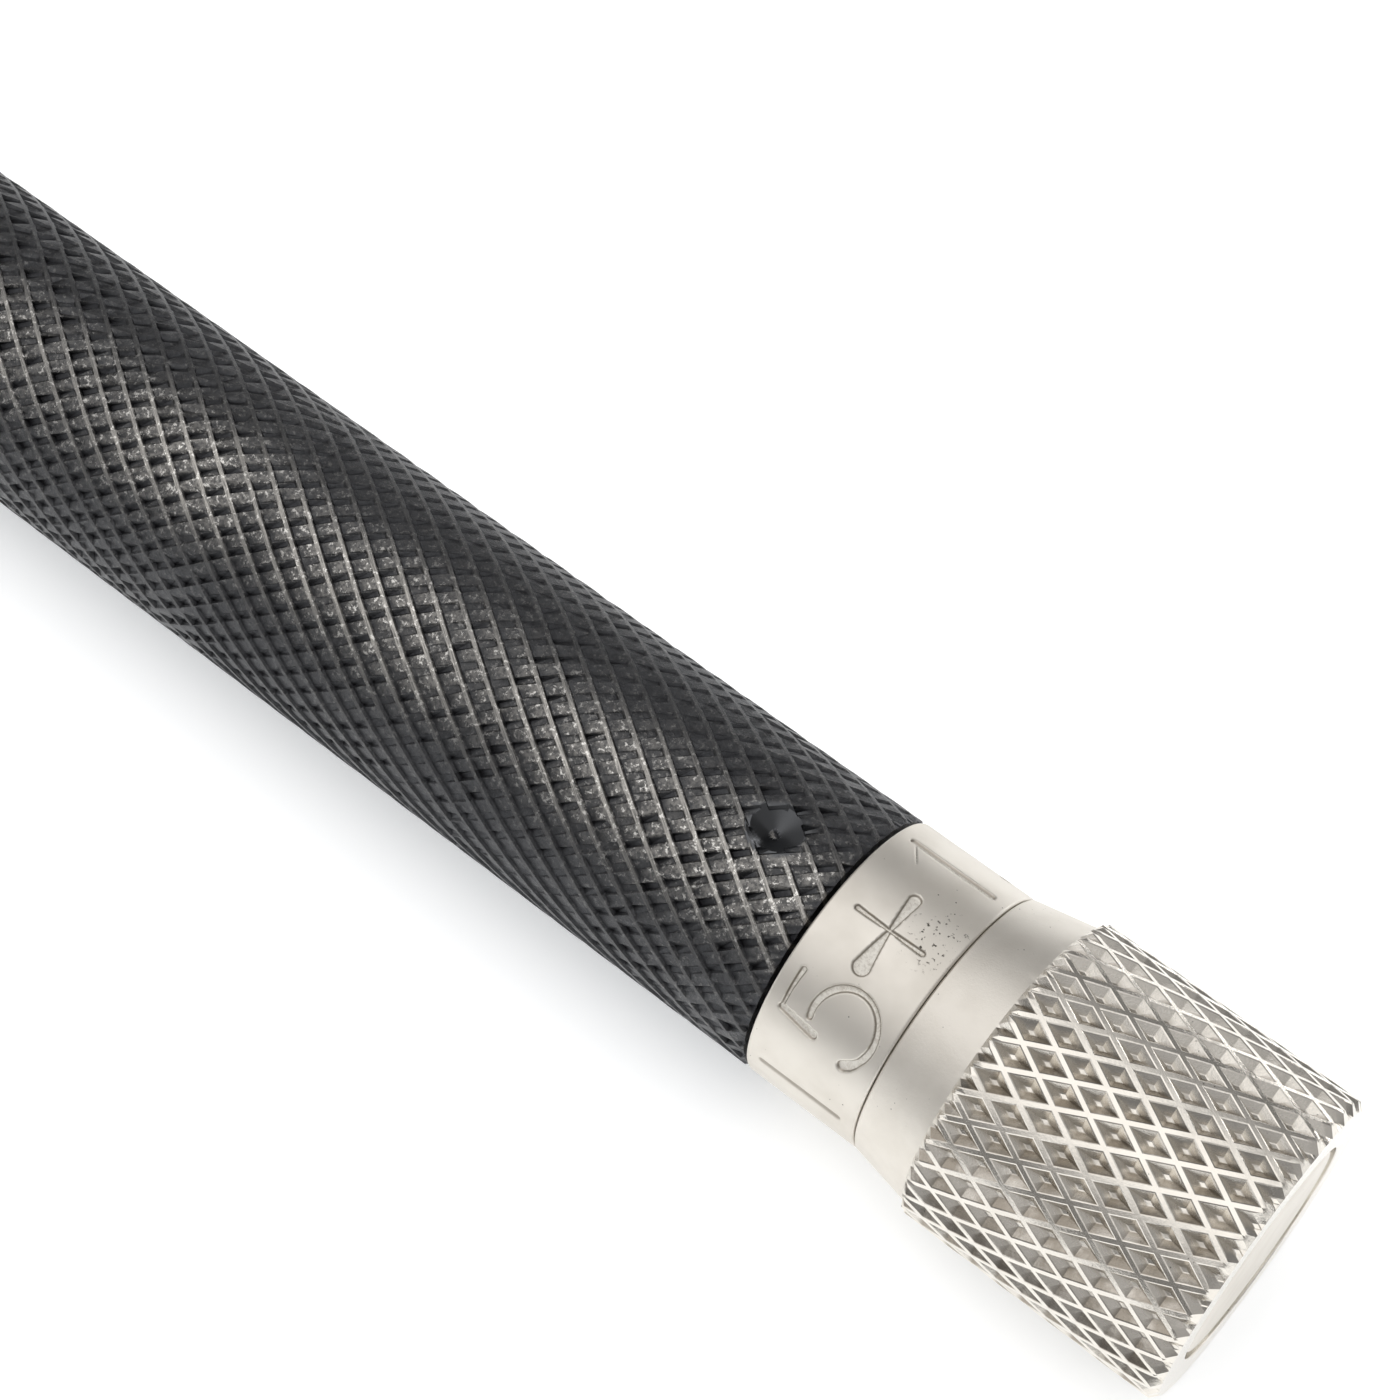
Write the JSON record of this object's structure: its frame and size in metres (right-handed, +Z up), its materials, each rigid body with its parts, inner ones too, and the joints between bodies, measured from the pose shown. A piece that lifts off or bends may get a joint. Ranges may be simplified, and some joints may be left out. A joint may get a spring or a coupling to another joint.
{
  "type": "pocket scriber",
  "caption": "Spring-loaded metalworking scriber with a knurled black handle, a marked dial ring, a knurled nickel adjusting cap, a hexagonal collar and a carbide point in a collet.",
  "frame": {"origin": "centre of the bounding box on the surface it rests on, under the middle of the tool's length", "axes": "+X along the tool's axis from the point towards the adjusting cap, +Z up, the tool lying on one flat of its hexagonal collar and on its cap; the handle's index spot faces up"},
  "size_m": [0.16, 0.016, 0.0138],
  "materials": {
    "black_oxide": "blackened, satin, worn bright on the knurl's crests",
    "nickel": "satin nickel plate, warm, lightly pitted",
    "steel": "turned",
    "hardened_steel": "ground",
    "spring_steel": "drawn wire",
    "brass": "turned",
    "rubber": "matt",
    "carbide": "ground"
  },
  "bodies": {
    "handle": {"handle_tube": "black_oxide", "rear_bush": "brass", "detent_ball": "hardened_steel", "detent_spring": "spring_steel", "guide_key": "steel", "stop_washer": "rubber", "front_bush": "brass", "hex_collar": "nickel", "nose_sleeve": "black_oxide", "nose_o_ring": "rubber", "pressure_spring": "spring_steel"},
    "adjuster": {"dial_ring": "nickel", "adjuster_cap": "nickel", "end_disc": "nickel", "cap_screw": "steel", "lock_washer": "steel", "spindle": "steel", "dial_o_ring": "rubber", "thrust_washer": "brass", "cam_sleeve": "hardened_steel", "cam_pin": "hardened_steel"},
    "follower": {"cam_follower": "hardened_steel", "push_tube": "steel", "spring_seat_rear": "steel"},
    "plunger": {"plunger": "steel", "spring_seat_front": "steel", "collet": "hardened_steel"},
    "chuck": {"chuck_nut": "nickel"},
    "point": {"scriber_point": "hardened_steel", "carbide_tip": "carbide"}
  },
  "joints": [
    {"name": "adjuster_turn", "type": "hinge", "parent": "handle", "child": "adjuster", "pos_m": [0.0597, 0, 0.0069], "axis": [1, 0, 0], "range_deg": [-80, 0]},
    {"name": "follower_slide", "type": "slide", "parent": "handle", "child": "follower", "axis": [1, 0, 0], "range_m": [0, 0.00301], "deforming": ["pressure_spring"]},
    {"name": "plunger_slide", "type": "slide", "parent": "handle", "child": "plunger", "axis": [1, 0, 0], "range_m": [0, 0.003], "stiffness_N_per_m": 1500, "springref_m": -0.004, "deforming": ["pressure_spring"]},
    {"name": "chuck_turn", "type": "hinge", "parent": "plunger", "child": "chuck", "pos_m": [-0.04, 0, 0.0069], "axis": [1, 0, 0], "range_deg": [0, 360]},
    {"name": "point_slide", "type": "slide", "parent": "plunger", "child": "point", "axis": [1, 0, 0], "range_m": [0, 0.01]}
  ],
  "couplings": [
    {"joint": "follower_slide", "follows": "adjuster_turn", "m_per_rad": -0.0021486}
  ]
}
